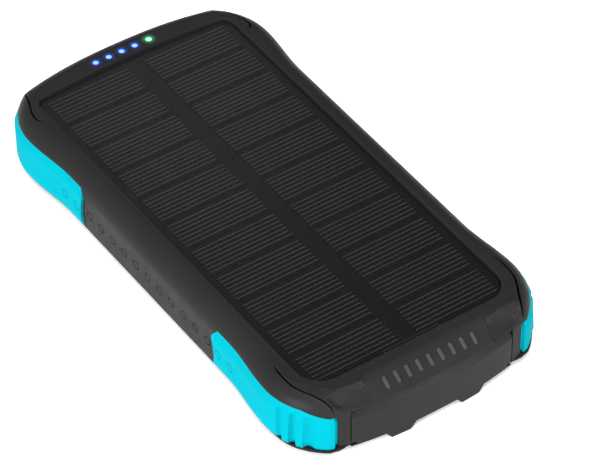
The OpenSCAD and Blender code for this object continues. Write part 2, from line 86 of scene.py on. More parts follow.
half_l = case_hi.y
half_w = case_hi.x
waist = 39.8
top_z = case_hi.z
split_z = case_lo.z
floor_z = cover_lo.z
edge_r = 6
edge_z = top_z - edge_r
wall = 2.6
ceiling_z = 16.9
panel_z = resin_hi.z
recess_z = panel_z - 2.05
bay_half_w = flap_hi.x + 0.4
bay_top = flap_hi.z + 0.5
frame_y = frame_hi.y
hinge_y, hinge_z = -half_l + 2.6, 3.3
ring_z, ring_pitch, ring_r = 9.65, 6, 1.5
screw_head_r = 1.9
screw_x, screw_y = screw_hi.x - screw_head_r, screw_hi.y - screw_head_r
foot_r = feet_hi.x - screw_x
light_y = (lens_lo.y + lens_hi.y) / 2
light_pitch, lens_r = 4.45, 1.35
lights = [lens_lo.x + lens_r + light_pitch * i for i in range(4)]
lights.append((green_lo.x + green_hi.x) / 2)
proud = bumper_hi.x - half_w
bumper_t = 1.3
far_out = 26                # past the case, for cutters that run out of it
bumper_low, bumper_top = bumper_lo.z, bumper_hi.z


# ---- Mesh building ----

def new_object(name, points, faces):
    mesh = bpy.data.meshes.new(name)
    mesh.from_pydata([(x * MM, y * MM, z * MM) for x, y, z in points], [], faces)
    mesh.update()
    obj = bpy.data.objects.new(name, mesh)
    scene.collection.objects.link(obj)
    return obj


def prism(name, shape, low, high, place=lambda u, v, w: (u, v, w)):
    """A closed solid: the flat shape, drawn anticlockwise, from low to high."""
    n = len(shape)
    points = [place(u, v, w) for w in (low, high) for u, v in shape]
    faces = [tuple(reversed(range(n))), tuple(range(n, 2 * n))]
    faces += [(i, (i + 1) % n, n + (i + 1) % n, n + i) for i in range(n)]
    return new_object(name, points, faces)


def box(name, x, y, z):
    return prism(name, [(x[0], y[0]), (x[1], y[0]), (x[1], y[1]), (x[0], y[1])], z[0], z[1])


def circle(cx, cy, r, n=40):
    return [(cx + r * math.cos(2 * math.pi * i / n), cy + r * math.sin(2 * math.pi * i / n))
            for i in range(n)]


def arc(cx, cy, r, a0, a1, n):
    return [(cx + r * math.cos(math.radians(a0 + (a1 - a0) * i / n)),
             cy + r * math.sin(math.radians(a0 + (a1 - a0) * i / n))) for i in range(n + 1)]


def stadium(l, h, n=14):
    r = h / 2
    return arc((l - h) / 2, 0, r, -90, 90, n) + arc((h - l) / 2, 0, r, 90, 270, n)


def along_x(u, v, w):
    return w, u, v


def along_y(u, v, w):
    return u, -w, v


def clamp(v):
    return max(0, min(1, v))


def between(marks, t):
    """The value at t on the line through the marks, each (t, value)."""
    for (t0, v0), (t1, v1) in zip(marks, marks[1:]):
        if t <= t1:
            return v0 + (v1 - v0) * max(t - t0, 0) / (t1 - t0)
    return marks[-1][1]


def span(s, a, b):
    """The range from a to b, on the right with s 1 and mirrored with s -1."""
    return tuple(sorted((s * a, s * b)))


def stack(name, rows, closed=True, caps=True):
    """A skin through rows of points, each the same length."""
    n = len(rows[0])
    points = [p for row in rows for p in row]
    faces = []
    for j in range(len(rows) - 1):
        for i in range(n if closed else n - 1):
            k = (i + 1) % n
            faces.append((j * n + i, j * n + k, (j + 1) * n + k, (j + 1) * n + i))
    if caps:
        faces.append(tuple(reversed(range(n))))
        faces.append(tuple(range((len(rows) - 1) * n, len(rows) * n)))
    return new_object(name, points, faces)


def lathe(name, profile, cx, cy, n=48):
    """A turned solid: profile is (radius, height) from the bottom middle to the top middle."""
    rows = [[(cx + r * math.cos(2 * math.pi * i / n), cy + r * math.sin(2 * math.pi * i / n), z)
             for i in range(n)] for r, z in profile]
    return stack(name, rows)


def weld(obj):
    """Faces point outwards, and doubled points are merged."""
    work = bmesh.new()
    work.from_mesh(obj.data)
    bmesh.ops.remove_doubles(work, verts=work.verts, dist=1e-7)
    bmesh.ops.dissolve_degenerate(work, edges=work.edges, dist=1e-7)
    bmesh.ops.recalc_face_normals(work, faces=work.faces)
    work.to_mesh(obj.data)
    work.free()
    return obj


def combine(target, others, operation="DIFFERENCE"):
    """Cuts the other solids out of the target, or adds them to it, and removes them."""
    group = bpy.data.collections.new("cutters")
    for o in others:
        weld(o)
        scene.collection.objects.unlink(o)
        group.objects.link(o)
    scene.collection.children.link(group)
    weld(target)
    step = target.modifiers.new("combine", "BOOLEAN")
    step.operand_type = "COLLECTION"
    step.collection = group
    step.operation = operation
    step.solver = "EXACT"
    step.use_self = True
    settle(target)
    for o in others:
        bpy.data.objects.remove(o)
    bpy.data.collections.remove(group)
    return target


def settle(obj):
    """Turns the modifiers' result into the mesh itself."""
    bpy.context.view_layer.update()
    graph = bpy.context.evaluated_depsgraph_get()
    mesh = bpy.data.meshes.new_from_object(obj.evaluated_get(graph))
    obj.modifiers.clear()
    obj.data = mesh
    return obj


def join(name, parts):
    points, faces = [], []
    for o in parts:
        base = len(points)
        points += [tuple(v.co / MM) for v in o.data.vertices]
        faces += [tuple(base + i for i in p.vertices) for p in o.data.polygons]
        bpy.data.objects.remove(o)
    return new_object(name, points, faces)


def round_edges(obj, width, segments=2, angle=35):
    """Softens the sharp edges, and shades the broad faces smoothly."""
    for p in obj.data.polygons:
        p.use_smooth = True
    bevel = obj.modifiers.new("round", "BEVEL")
    bevel.width = width * MM
    bevel.segments = segments
    bevel.limit_method = "ANGLE"
    bevel.angle_limit = math.radians(angle)
    bevel.harden_normals = False
    bevel.miter_outer = "MITER_ARC"
    normals = obj.modifiers.new("normals", "WEIGHTED_NORMAL")
    normals.keep_sharp = True
    normals.weight = 60
    return obj


# ---- Outline of the case, seen from above ----

flare_start, flare_y = 40, 60
corner_r, corner_a = 21.5, 54.5
corner_x = half_w - corner_r
turn_x = corner_x + corner_r * math.cos(math.radians(corner_a))
turn_y = flare_y + corner_r * math.sin(math.radians(corner_a))


def ease(t):
    t = clamp(t)
    return t * t * (3 - 2 * t)


def side_x(y):
    return waist + (half_w - waist) * ease((y - flare_start) / (flare_y - flare_start))


def end_y(x):
    return half_l - (half_l - turn_y) * (abs(x) / turn_x) ** 2.4


def quarter(start, flare_n, arc_n, end_n):
    """From a place on the long side, round the corner, to the middle of the end."""
    points = [(side_x(start + (flare_y - start) * i / flare_n),
               start + (flare_y - start) * i / flare_n) for i in range(flare_n)]
    points += arc(corner_x, flare_y, corner_r, 0, corner_a, arc_n)
    xs = [turn_x * (1 - i / end_n) for i in range(1, end_n + 1)]
    return points + [(x, end_y(x)) for x in xs]


side = quarter(flare_start, 18, 18, 26)
last = len(side) - 1
outline = (side + [(-x, y) for x, y in side[last - 1::-1]]
           + [(-x, -y) for x, y in side] + [(x, -y) for x, y in side[last - 1::-1]])


def mitres_of(points, closed=True):
    n = len(points)
    out = []
    for i in range(n):
        a, b, c = points[i - 1], points[i], points[(i + 1) % n]
        if not closed and i == 0:
            a = (2 * b[0] - c[0], 2 * b[1] - c[1])
        if not closed and i == n - 1:
            c = (2 * b[0] - a[0], 2 * b[1] - a[1])
        p = Vector((b[1] - a[1], a[0] - b[0])).normalized()
        q = Vector((c[1] - b[1], b[0] - c[0])).normalized()
        out.append((p + q) / (1 + p.dot(q)))
    return out


mitres = mitres_of(outline)


def ring(d):
    return [(x - d * m.x, y - d * m.y) for (x, y), m in zip(outline, mitres)]


def skirt(x, y):
    """Share of the flare at the bottom of the socket end's corners."""
    return 0 if y > 0 else ease((-y - 62) / 9) * ease((abs(x) - 27) / 3)


def loft(name, levels, flare=0):
    """A solid through the outline at several levels, each (height, inset)."""
    rows = [[(x - (d - flare * skirt(x, y)) * m.x, y - (d - flare * skirt(x, y)) * m.y, z)
             for (x, y), m in zip(outline, mitres)] for z, d in levels]
    obj = stack(name, rows, caps=False)
    n, m = len(outline), 2 * last
    top = (len(levels) - 1) * n
    flat = [(i, i + 1, m - i - 1, m - i) for i in range(last - 1)]
    flat.append((last - 1, last, last + 1))
    flat.append((2 * m + 1, 0, m, m + 1))
    flat += [(m + 1 + i, m + 2 + i, 2 * m - i, 2 * m + 1 - i) for i in range(last - 1)]
    flat.append((m + last, m + last + 1, m + last + 2))
    points = [tuple(v.co / MM) for v in obj.data.vertices]
    faces = [tuple(p.vertices) for p in obj.data.polygons]
    faces += [tuple(reversed(f)) for f in flat]
    faces += [tuple(i + top for i in f) for f in flat]
    bpy.data.objects.remove(obj)
    return new_object(name, points, faces)


def shoulder_inset(z):
    """How far in the rounded upper edge lies at a height."""
    s = clamp((z - edge_z) / edge_r)
    return edge_r * (1 - math.sqrt(1 - s * s))


def curve_through(points, steps=6):
    """A smooth line through the points."""
    out = []
    for i in range(len(points) - 1):
        p0 = points[max(i - 1, 0)]
        p1, p2 = points[i], points[i + 1]
        p3 = points[min(i + 2, len(points) - 1)]
        for k in range(steps):
            t = k / steps
            out.append(tuple(0.5 * (2 * b + (c - a) * t + (2 * a - 5 * b + 4 * c - d) * t * t
                                    + (3 * b - a - 3 * c + d) * t ** 3)
                             for a, b, c, d in zip(p0, p1, p2, p3)))
    return out + [points[-1]]


def slot(name, path, width, low, high):
    """A solid along a line seen from above, with pointed ends."""
    line = curve_through(path)
    sides = mitres_of(line, closed=False)
    n = len(line) - 1
    half = [width / 2 * min(1, 0.3 + 6 * i / n, 0.2 + 2.6 * (n - i) / n) for i in range(n + 1)]
    left = [(x + h * m.x, y + h * m.y) for (x, y), m, h in zip(line, sides, half)]
    back = [(x - h * m.x, y - h * m.y) for (x, y), m, h in zip(line, sides, half)]
    return prism(name, left + back[::-1], low, high)


# ---- Corner bumpers ----

bumper_x, notch_w, notch_d = 30.1, 1.1, 1.05
notch_x = bumper_x + notch_w
end_from = 70               # past this the outline belongs to the case's end
shoulder_y, shoulder_drop = 71.7, 0.28
rib_from, rib_pitch, rib_count = 14.0, 11, 3
side_start, side_free = 30, 40
bumper_levels = 30
slack = 0.05

bumper_side = [p for p in quarter(side_start, 60, 110, 66) if p[0] > notch_x + 0.2 or p[1] < end_from]
bumper_side += [(x, end_y(x)) for x in (notch_x + 0.1, notch_x, bumper_x + 0.5, bumper_x + 0.05)]
bumper_mitre = mitres_of(bumper_side, closed=False)


def waist_edge(z):
    """Where a bumper begins on the long side: a small step, then nearly upright."""
    return between([(2, 33.4), (4, 33.4), (7, 34.0), (11, 33.6), (14.2, 32.9), (15.2, 33.3),
                    (16.9, 34.7), (20, 34.7)], z)


def bumper_top_at(y):
    return bumper_top - shoulder_drop * max(0, y - shoulder_y)


def ribs(x, y, z):
    """Extra inset of the saw-tooth grooves round the corner; the ribs grow proud towards the bottom."""
    a = math.degrees(math.atan2(y - flare_y, x - corner_x))
    k = (a - rib_from) / rib_pitch
    if y < flare_y or not 0 <= k < rib_count:
        return 0
    t = k - math.floor(k)
    last_one = k >= rib_count - 1
    groove = between([(0, 0), (0.06, 0.25), (0.24, 0.8), (0.44, 0.85), (0.8 if last_one else 0.5, 0),
                      (1, 0)], t)
    height = clamp((15.4 - z) / 0.8)
    out = 0.45 * clamp((13.5 - z) / 9.5) * (1 if 0.5 < t and not last_one else 0)
    return height * groove - out


def bumper_inset(x, y, z, high, near):
    """How far inside the case's outline the bumper's outer face lies."""
    lid, lid_h = shoulder_inset(high) - 0.02, 2.2
    tuck_z, tuck = 5.6, 0.45
    d = -proud
    if high - z < lid_h:
        d = lid + (-proud - lid) * ((high - z) / lid_h)
    if z < tuck_z:
        d += tuck * ((tuck_z - z) / (tuck_z - bumper_low)) ** 2
    if near:
        d += ribs(x, y, z)
    if y > end_from and x < notch_x + 0.05:
        d += notch_d
    return d


def bumper_solid(name, sx, sy, near, cutter=False):
    """A corner bumper, or the pocket that is cut for it, which is a little larger and runs out of the case."""
    rows = []
    for j in range(bumper_levels + 1):
        outer, inner = [], []
        for (x, y), m in zip(bumper_side, bumper_mitre):
            high = bumper_top_at(y) + (0.06 if cutter else 0)
            low = 0 if cutter else bumper_low
            z = low + (high - low) * (j / bumper_levels)
            start = waist_edge(z) + (-slack if cutter else slack)
            if y < side_free:
                y = start + (y - side_start) * (side_free - start) / (side_free - side_start)
                x = side_x(y)
            front = -3 if cutter else bumper_inset(x, y, z, high, near)
            back = bumper_t - (0 if cutter else slack)
            outer.append((sx * (x - front * m.x), sy * (y - front * m.y), z))
            inner.append((sx * (x - back * m.x), sy * (y - back * m.y), z))
        rows.append(outer + inner[::-1])
    n = len(bumper_side)
    obj = stack(name, rows, caps=False)
    points = [tuple(v.co / MM) for v in obj.data.vertices]
    faces = [tuple(p.vertices) for p in obj.data.polygons]
    top = bumper_levels * 2 * n
    for i in range(n - 1):
        a, b, c, d = i, i + 1, 2 * n - 2 - i, 2 * n - 1 - i
        faces.append((d, c, b, a))
        faces.append((a + top, b + top, c + top, d + top))
    bpy.data.objects.remove(obj)
    return weld(new_object(name, points, faces))


def ring_cut(y, x, s, thick=0.42, deep=0.28):
    """A thin circular groove in an upright side face."""
    n = 28
    rows = []
    for r, w in ((ring_r, -deep), (ring_r, 1), (ring_r - thick, 1), (ring_r - thick, -deep)):
        rows.append([(s * (x + w), y + r * math.cos(2 * math.pi * i / n),
                      ring_z + r * math.sin(2 * math.pi * i / n)) for i in range(n)])
    rows.append(rows[0])
    return weld(stack("ring", rows, caps=False))


corners = {"near_left": (-1, -1), "near_right": (1, -1), "far_left": (-1, 1), "far_right": (1, 1)}
bumpers = []
for word, (sx, sy) in corners.items():
    piece = bumper_solid("bumper_" + word + "_moulded", sx, sy, near=sy < 0)
    cuts = [ring_cut(sy * i * ring_pitch, side_x(i * ring_pitch) + proud, sx) for i in (6, 7)]
    combine(piece, cuts)
    round_edges(piece, 0.16, angle=38)
    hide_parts("bumper_" + word)
    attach(piece, "case")
    bumpers.append(piece)

# ---- Top case ----

panel_w, panel_near, panel_far = 33, 70.4, 69.5


def panel_shape(d, n=8):
    w, near, far = panel_w - d, panel_near - d, panel_far - d
    shape = arc(-w + 8, -near + 8, 8, 180, 270, 2 * n) + arc(w - 8, -near + 8, 8, 270, 360, 2 * n)
    shape += arc(w - 3, far - 3, 3, 0, 80, n)
    for i in range(1, 16):
        t = 1 - i / 8
        shape.append((t * (w - 3), far + 1.5 * (1 - t * t)))
    return shape + arc(-w + 3, far - 3, 3, 100, 180, n)


near_slot = [(36.35, 57.0), (36.65, 59.5), (36.7, 62.6), (36.4, 65.8), (35.4, 68.6), (34.0, 71.2),
             (32.8, 73.6), (31.7, 76), (30.9, 78.2), (30.5, 80.5)]
far_slot = [(34.6, 61.4), (35.7, 61.4), (36.35, 62.0), (36.55, 63.2), (36.4, 65.0), (35.8, 67.2),
            (34.4, 70.4), (33.1, 74.2), (32.2, 76.6), (31.6, 80)]
slot_w = 0.7
lip_end, lip_rows = 84, 22
step_u, step_w = 26.5, 5.1  # the step wall fades over step_w, up to step_u from the middle


def near_slot_x(y):
    """Where the near slots' middle line lies at a distance from the middle."""
    return between([(v, u) for u, v in near_slot], y)


def surface_z(x, y):
    """Height of the rounded upper edge at a place near a corner."""
    inset = min(corner_r - math.hypot(x - corner_x, y - flare_y), 0.97 * (end_y(x) - y))
    rest = clamp(inset / edge_r)
    return edge_z + edge_r * math.sqrt(1 - (1 - rest) ** 2)


def lip_height(t, seam):
    return top_z + 0.03 - 4.5 * (max(0, t - 73.4) / (seam - 73.4)) ** 1.4


def lip_columns():
    """The lip's columns: the kind of strip, the share of its width, and the side."""
    side_columns = [("pit", i / 8) for i in range(9)] + [("ramp", i / 5) for i in range(1, 6)]
    middle = [("mid", k / 8, 1) for k in range(-8, 9)]
    left = [(kind, f, -1) for kind, f in reversed(side_columns)]
    return left + middle + [(kind, f, 1) for kind, f in side_columns]


def lip_place(kind, f, s, t):
    """Where a column lies across, and where the ramp beside it starts and ends."""
    edge = 20 - 1.5 * (t - 75) / 5.5
    high = near_slot_x(t) - slot_w / 2
    foot = min(30.5 - 3.2 * (t - 73) / 5.6, high - 1.5)
    if kind == "mid":
        return f * edge, foot, high
    if kind == "pit":
        return s * (edge + 0.3 + (foot - edge - 0.3) * f), foot, high
    return s * (foot + (high - foot) * f), foot, high


def lip_side_height(kind, u, t, first, foot, high):
    """Height beside the middle slope: a slope with a step and a bowl, and a ramp up to the slot."""
    seam = end_y(min(u, 32)) - 0.5
    slope = 4.3 * ((t - first) / (seam - first)) ** 1.35
    step = clamp((step_u - u) / step_w) * max(0.35, min(1, (seam + 1 - t) / 4))
    bowl = math.sin(math.pi * clamp((u - 19) / (high + 5 - 19))) ** 2
    pit = 1.0 * step + 1.15 * bowl * clamp((t - 74) / 2.5) * clamp((seam - t) / 1.5)
    rise = max(0, surface_z(high, t) - top_z + slope + pit)
    ramp = rise * max(0, (u - foot) / max(high - foot, 0.1)) if kind == "ramp" else 0
    return top_z - slope - pit + ramp


def lip_line(kind, f, s):
    """One column of the lip, from the panel's side to past the case's end."""
    u = abs(lip_place(kind, f, s, 75)[0])
    first, drop_w = 73.0, 0.3
    if kind != "mid":
        first = 74.9 - 0.18 * max(0, u - 21.4) if u < step_u else 74 - (u - step_u) / 4
        drop_w = 0.3 + 0.7 * clamp((step_u - u) / step_w)
    start = first + drop_w
    line = []
    for j, t in enumerate([first - 1, first] + [start + (lip_end - start) * i / lip_rows
                                                for i in range(lip_rows + 1)]):
        x, foot, high = lip_place(kind, f, s, t)
        if kind == "mid":
            h = lip_height(t, end_y(min(abs(x), 32)) - 0.5) if j > 1 else top_z + 0.1
        elif j < 2:
            h = top_z + (0.5 if j == 0 else 0)
        else:
            h = lip_side_height(kind, abs(x), t, first, foot, high)
        line.append((x, -t, max(h, bay_top + 0.25)))
    return line


def lip_cutter():
    """The scooped lip above the sockets: a middle slope, a pit each side, and a ramp up to each slot."""
    grid = [lip_line(*column) for column in lip_columns()]
    n = len(grid[0])
    points = [p for line in grid for p in line]
    base = len(points)
    points += [(x, y, far_out) for line in grid for x, y, z in line]
    faces = []
    for i in range(len(grid) - 1):
        for j in range(n - 1):
            a, b, c, d = i * n + j, i * n + j + 1, (i + 1) * n + j + 1, (i + 1) * n + j
            faces.append((a, b, c, d))
            faces.append((base + d, base + c, base + b, base + a))
    rim = [i * n for i in range(len(grid))] + [(len(grid) - 1) * n + j for j in range(1, n)]
    rim += [i * n + n - 1 for i in range(len(grid) - 2, -1, -1)] + [j for j in range(n - 2, 0, -1)]
    for a, b in zip(rim, rim[1:] + rim[:1]):
        faces.append((a, b, base + b, base + a))
    return weld(new_object("lip", points, faces))


def valley(s):
    """A sloped facet that rises to the slot, from half way along the corner to the lip."""
    rows = []
    steps = 15
    for i in range(steps + 1):
        y = 63.5 + 11.5 * i / steps
        grow = i / steps
        x = near_slot_x(y) - slot_w / 2 + 0.1
        high = surface_z(x, y) + 0.02
        reach, sunk = 0.3 + 1.9 * grow, 0.04 + 0.5 * grow
        rows.append([(s * x, -y, high), (s * (x - reach), -y + 0.3 * grow, top_z - sunk),
                     (s * (x - 1.8 * reach), -y + 0.5 * grow, top_z + 0.02), (s * x, -y, top_z + 1)])
    return weld(stack("valley", rows))


levels = [(split_z, 0.12), (split_z + 0.12, 0)] + [(z, 0) for z in (6, 9, 12)]
levels += [(edge_z + edge_r * math.sin(math.radians(a)), edge_r * (1 - math.cos(math.radians(a))))
           for a in range(0, 91, 6)]
shell = loft("case_shell", levels)
combine(shell, [prism("cavity", ring(wall), -5, ceiling_z)])
boss_r, boss_from = 2.7, 5.6
combine(shell, [prism("boss", circle(sx * screw_x, sy * screw_y, boss_r), boss_from, ceiling_z + 0.5)
                for sx in (-1, 1) for sy in (-1, 1)], "UNION")

near_slot_floor, far_slot_floor = 16.6, 17.6
thread_r, thread_top = 1.02, 12
light_hole_r, lead_hole_r = 0.92, 2
lead_hole = (-24, -54)
button_hole = stadium(11.4, 5)
cuts = [prism("recess", panel_shape(0), recess_z, far_out), lip_cutter(),
        box("bay", (-bay_half_w, bay_half_w), (-90, frame_y), (-5, bay_top))]
for sx, sy in corners.values():
    path = [(sx * x, sy * y) for x, y in (near_slot if sy < 0 else far_slot)]
    cuts.append(slot("slot", path, slot_w, near_slot_floor if sy < 0 else far_slot_floor, far_out))
    cuts.append(bumper_solid("pocket", sx, sy, near=False, cutter=True))
    cuts.append(prism("screw", circle(sx * screw_x, sy * screw_y, thread_r, 24), -5, thread_top))
cuts += [valley(-1), valley(1)]
cuts += [prism("light", circle(x, light_y, light_hole_r, 32), 14, far_out) for x in lights]
cuts.append(prism("lead", circle(*lead_hole, lead_hole_r), ceiling_z - 1, ceiling_z + 3))
cuts.append(prism("button", [(u, v + ring_z) for u, v in button_hole], 34, 44, along_x))
cuts += [ring_cut(i * ring_pitch, waist, -1) for i in range(-5, 6)]
cuts += [ring_cut(i * ring_pitch, waist, 1) for i in range(-5, 6) if abs(i) > 1]
combine(shell, cuts)

lip_rib_count, lip_rib_pitch, lip_rib_l, lip_rib_w, lip_rib_y = 9, 3.6, 3.8, 1.0, 77.5
lip_rise, lip_fall = 0.78, 0.62     # the lip's slope, as a direction of length 1


def lip_rib(x):
    """A plain raised bar that lies down the lip's slope."""
    rows = []
    for lift, shrink in ((-0.6, 0), (0.24, 0), (0.36, 0.12)):
        row = []
        for v, u in stadium(lip_rib_l, lip_rib_w, 8):
            t = lip_rib_y - v * (1 - shrink * 0.3) * lip_rise
            h = lip_height(t, end_y(abs(x)) - 0.5)
            row.append((x + u * (1 - shrink * 0.8), -t - lift * lip_fall, h + lift * lip_rise))
        rows.append(row)
    return weld(stack("rib", rows))


lip_ribs = join("lip_ribs", [lip_rib((i - (lip_rib_count - 1) // 2) * lip_rib_pitch)
                             for i in range(lip_rib_count)])
round_edges(lip_ribs, 0.1)
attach(lip_ribs, "case")

round_edges(shell, 0.12, angle=22)
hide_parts("top_case")
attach(shell, "case")

# ---- Rear cover ----

cover = loft("case_cover", [(floor_z, 1.45), (floor_z + 0.12, 1.1), (floor_z + 0.4, 0.6),
                            (floor_z + 0.8, 0.3), (floor_z + 1.0, 0.15), (split_z, 0.15)], flare=0.9)
cuts = [box("bay", (-bay_half_w, bay_half_w), (-90, hinge_y + 2.9), (-5, far_out))]
for s in (-1, 1):
    cuts.append(box("lug", span(s, 6.4, 16.5), (-90, hinge_y + 3.9), (-5, far_out)))
screw_seat = ((foot_r + 0.05, 2.55), (2.1, 3.95))
for sx, sy in corners.values():
    for r, z in screw_seat:
        cuts.append(prism("foot", circle(sx * screw_x, sy * screw_y, r), -5, z))
grip_x, grip_l, grip_w, grip_pitch, grip_end, grip_depth = 27, 9, 1.2, 4, 44, 0.35
for s in (-1, 1):
    for y in range(-grip_end, grip_end + 1, grip_pitch):
        cuts.append(prism("grip", [(s * grip_x + u, y + v) for u, v in stadium(grip_l, grip_w, 6)],
                          -5, floor_z + grip_depth))
plate_x, plate_y, plate_r, plate_depth = 17, 32, 3, 0.25
plate = []
for i, (sx, sy) in enumerate(((-1, -1), (1, -1), (1, 1), (-1, 1))):
    start = (180 + 90 * i) % 360
    plate += arc(sx * plate_x, sy * plate_y, plate_r, start, start + 90, 6)
cuts.append(prism("plate", plate, -5, floor_z + plate_depth))
combine(cover, cuts)
round_edges(cover, 0.15, angle=38)
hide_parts("rear_cover")
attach(cover, "case")

# ---- Feet ----

foot_top, screw_room, hollow_z = floor_z + 0.5, 2.6, 0.4
foot_profile = [(screw_room + 0.15, 0), (foot_r - 0.5, 0), (foot_r - 0.2, 0.1), (foot_r, hollow_z),
                (foot_r, foot_top), (screw_room, foot_top), (0.01, foot_top), (0.01, hollow_z),
                (screw_room, hollow_z), (screw_room, 0.12), (screw_room + 0.15, 0)]
feet = join("feet_pads", [weld(lathe("pad", foot_profile, sx * screw_x, sy * screw_y))
                          for sx, sy in corners.values()])
round_edges(feet, 0.08)
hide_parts("rubber_feet")
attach(feet, "case")

# ---- Port flap ----

flap_top, flap_t, pin_r, ear_r, ear_room = flap_hi.z, 2, 0.6, 1.1, 0.15
flap_half_w = flap_hi.x
lug_x, ear_x = (6.7, 16.2), (16.5, 18.6)
flap = loft("flap_door", [(hinge_z - 1.1, 0.25), (hinge_z - 0.9, 0.05), (hinge_z - 0.7, 0), (8, 0),
                          (flap_top - 2.75, 0), (flap_top - 2.6, 0.03), (flap_top - 2.4, 0.14),
                          (flap_top - 0.15, 1.3), (flap_top, 1.45)])
cuts = [prism("inner", ring(flap_t), -5, far_out)]
cuts += [box("beyond", x, (-90, 90), (-5, far_out)) for x in ((-60, -flap_half_w), (flap_half_w, 60))]
cuts.append(box("back", (-60, 60), (-60, 90), (-5, far_out)))
combine(flap, cuts)


def rod(name, x, r):
    """A round bar on the hinge's axis."""
    return prism(name, circle(hinge_y, hinge_z, r), x[0], x[1], along_x)


lugs = [rod("lug", span(s, *lug_x), ear_r - 0.05) for s in (-1, 1)]
tab_low, tab_wide, tab_x = 0.3, 2.4, (8.5, 14.4)
for s in (-1, 1):
    tab = [(tab_x[0], tab_low), (tab_x[1], tab_low), (lug_x[1], tab_wide), (lug_x[1], hinge_z),
           (lug_x[0], hinge_z), (lug_x[0], tab_wide)]
    if s < 0:
        tab = [(-u, v) for u, v in reversed(tab)]
    piece = prism("tab", tab, -hinge_y + 0.4, 90, along_y)
    step = piece.modifiers.new("trim", "BOOLEAN")
    outer = prism("outer", ring(0), -5, far_out)
    step.object = weld(outer)
    step.operation = "INTERSECT"
    step.solver = "EXACT"
    weld(piece)
    settle(piece)
    bpy.data.objects.remove(outer)
    lugs.append(piece)
combine(flap, lugs, "UNION")
cuts = [rod("pin", (-30, 30), pin_r + 0.05), rod("middle", (-lug_x[0], lug_x[0]), ear_r + ear_room)]
gap_y, gap_z = (hinge_y - 0.1, 0), (-5, hinge_z + 1.75)
for s in (-1, 1):
    ear_gap = span(s, ear_x[0] - 0.3, ear_x[1] + 0.3)
    cuts.append(rod("ear", ear_gap, ear_r + ear_room))
    cuts.append(box("gap", ear_gap, gap_y, gap_z))
cuts.append(box("gap", (-lug_x[0], lug_x[0]), gap_y, gap_z))
combine(flap, cuts)
round_edges(flap, 0.15, angle=38)
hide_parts("port_flap")
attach(flap, "flap")

# ---- Solar panel ----

resin_levels = ((cells_hi.z + 0.05, 0.3), (panel_z - 0.2, 0.3), (panel_z - 0.08, 0.34), (panel_z, 0.5))
resin = weld(stack("panel_resin_sheet",
                   [[(x, y, z) for x, y in panel_shape(d)] for z, d in resin_levels]))
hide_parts("panel_cover")
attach(resin, "case")

row_pitch, cell_rows = 12.505, 11
column_gap, cell_end = 5.8, 30.0
strip_w, strip_h, strip_pitch, strips = 0.17, 0.03, 1.545, 7
lines = []
for row in range(cell_rows):
    middle = (row - (cell_rows - 1) / 2) * row_pitch
    for s in (-1, 1):
        for i in range(strips):
            y = middle + (i - (strips - 1) / 2) * strip_pitch
            lines.append(box("line", span(s, column_gap / 2, cell_end), (y - strip_w / 2, y + strip_w / 2),
                             (cells_hi.z - 0.02, cells_hi.z + strip_h)))
bus = join("cell_lines", lines)
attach(bus, "case")

key_w, key_x, key_far, key_near = 0.16, 9, -68.7, -70.0
key_parts = [box("outline", x, y, (cells_hi.z - 0.1, cells_hi.z + strip_h))
             for x, y in (((-key_x, key_x), (key_far, key_far + key_w)),
                          ((-key_x, -key_x + key_w), (key_near, key_far)),
                          ((key_x - key_w, key_x), (key_near, key_far)))]
mark = join("panel_key_line", key_parts)
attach(mark, "case")

# ---- Lights ----


def lens(x):
    """A light pipe: a flange under the case, a stem, and a slightly domed end."""
    z0 = lens_lo.z
    profile = [(0.01, z0), (lens_r, z0), (lens_r, ceiling_z - 0.05), (0.85, ceiling_z - 0.05),
               (0.85, top_z - 0.14), (0.78, top_z - 0.07), (0.6, top_z - 0.02), (0.3, top_z), (0.01, top_z)]
    return weld(lathe("lens", profile, x, light_y))


blue_lens = join("light_lenses_blue", [lens(x) for x in lights[:4]])
green_lens = join("light_lens_green", [lens(lights[4])])
for piece, node_name, slot_name in ((blue_lens, "indicator_lenses_blue", "lens_blue"),
                                    (green_lens, "indicator_lens_green", "lens_green")):
    for p in piece.data.polygons:
        p.use_smooth = True
    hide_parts(node_name)
    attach(piece, "case")

# ---- Power button ----

root, face = button_lo.x, button_hi.x
key_levels = ((root, 13, 6.2), (root + 0.7, 13, 6.2), (root + 0.72, 11, 4.6), (face - 0.35, 11, 4.6),
              (face - 0.18, 10.85, 4.45), (face - 0.05, 10.4, 4.0), (face - 0.05, 9.6, 3.2),
              (face - 0.22, 9.0, 2.6), (face - 0.26, 3.0, 0.8))
rows = [[(x, u, v + ring_z) for u, v in stadium(l, h)] for x, l, h in key_levels]
button = weld(stack("power_key", rows))
round_edges(button, 0.06, angle=50)
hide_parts("power_button")
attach(button, "button")

# ---- Socket contacts ----

def contact_row(middle_x, count, pitch, width, y, z):
    """Flat spring contacts side by side, width and pitch across, y and z their ranges."""
    places = [middle_x + (i - (count - 1) / 2) * pitch for i in range(count)]
    return [box("contact", (x - width / 2, x + width / 2), y, z) for x in places]


usb_a_x, usb_c_x, micro_x = 18.6, -4.9, 5.4
contacts = []
for s in (-1, 1):
    contacts += contact_row(s * usb_a_x, 4, 2.2, 0.9, (-75.0, -67.5), (9.36, 9.46))
contacts += contact_row(micro_x, 5, 0.65, 0.36, (-77.1, -74.2), (8.02, 8.12))
for z in (7.6, 8.32):
    contacts += contact_row(usb_c_x, 9, 0.6, 0.28, (-77.2, -73.2), (z, z + 0.08))
pads = join("socket_contacts", contacts)
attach(pads, "case")


# ---- Materials ----

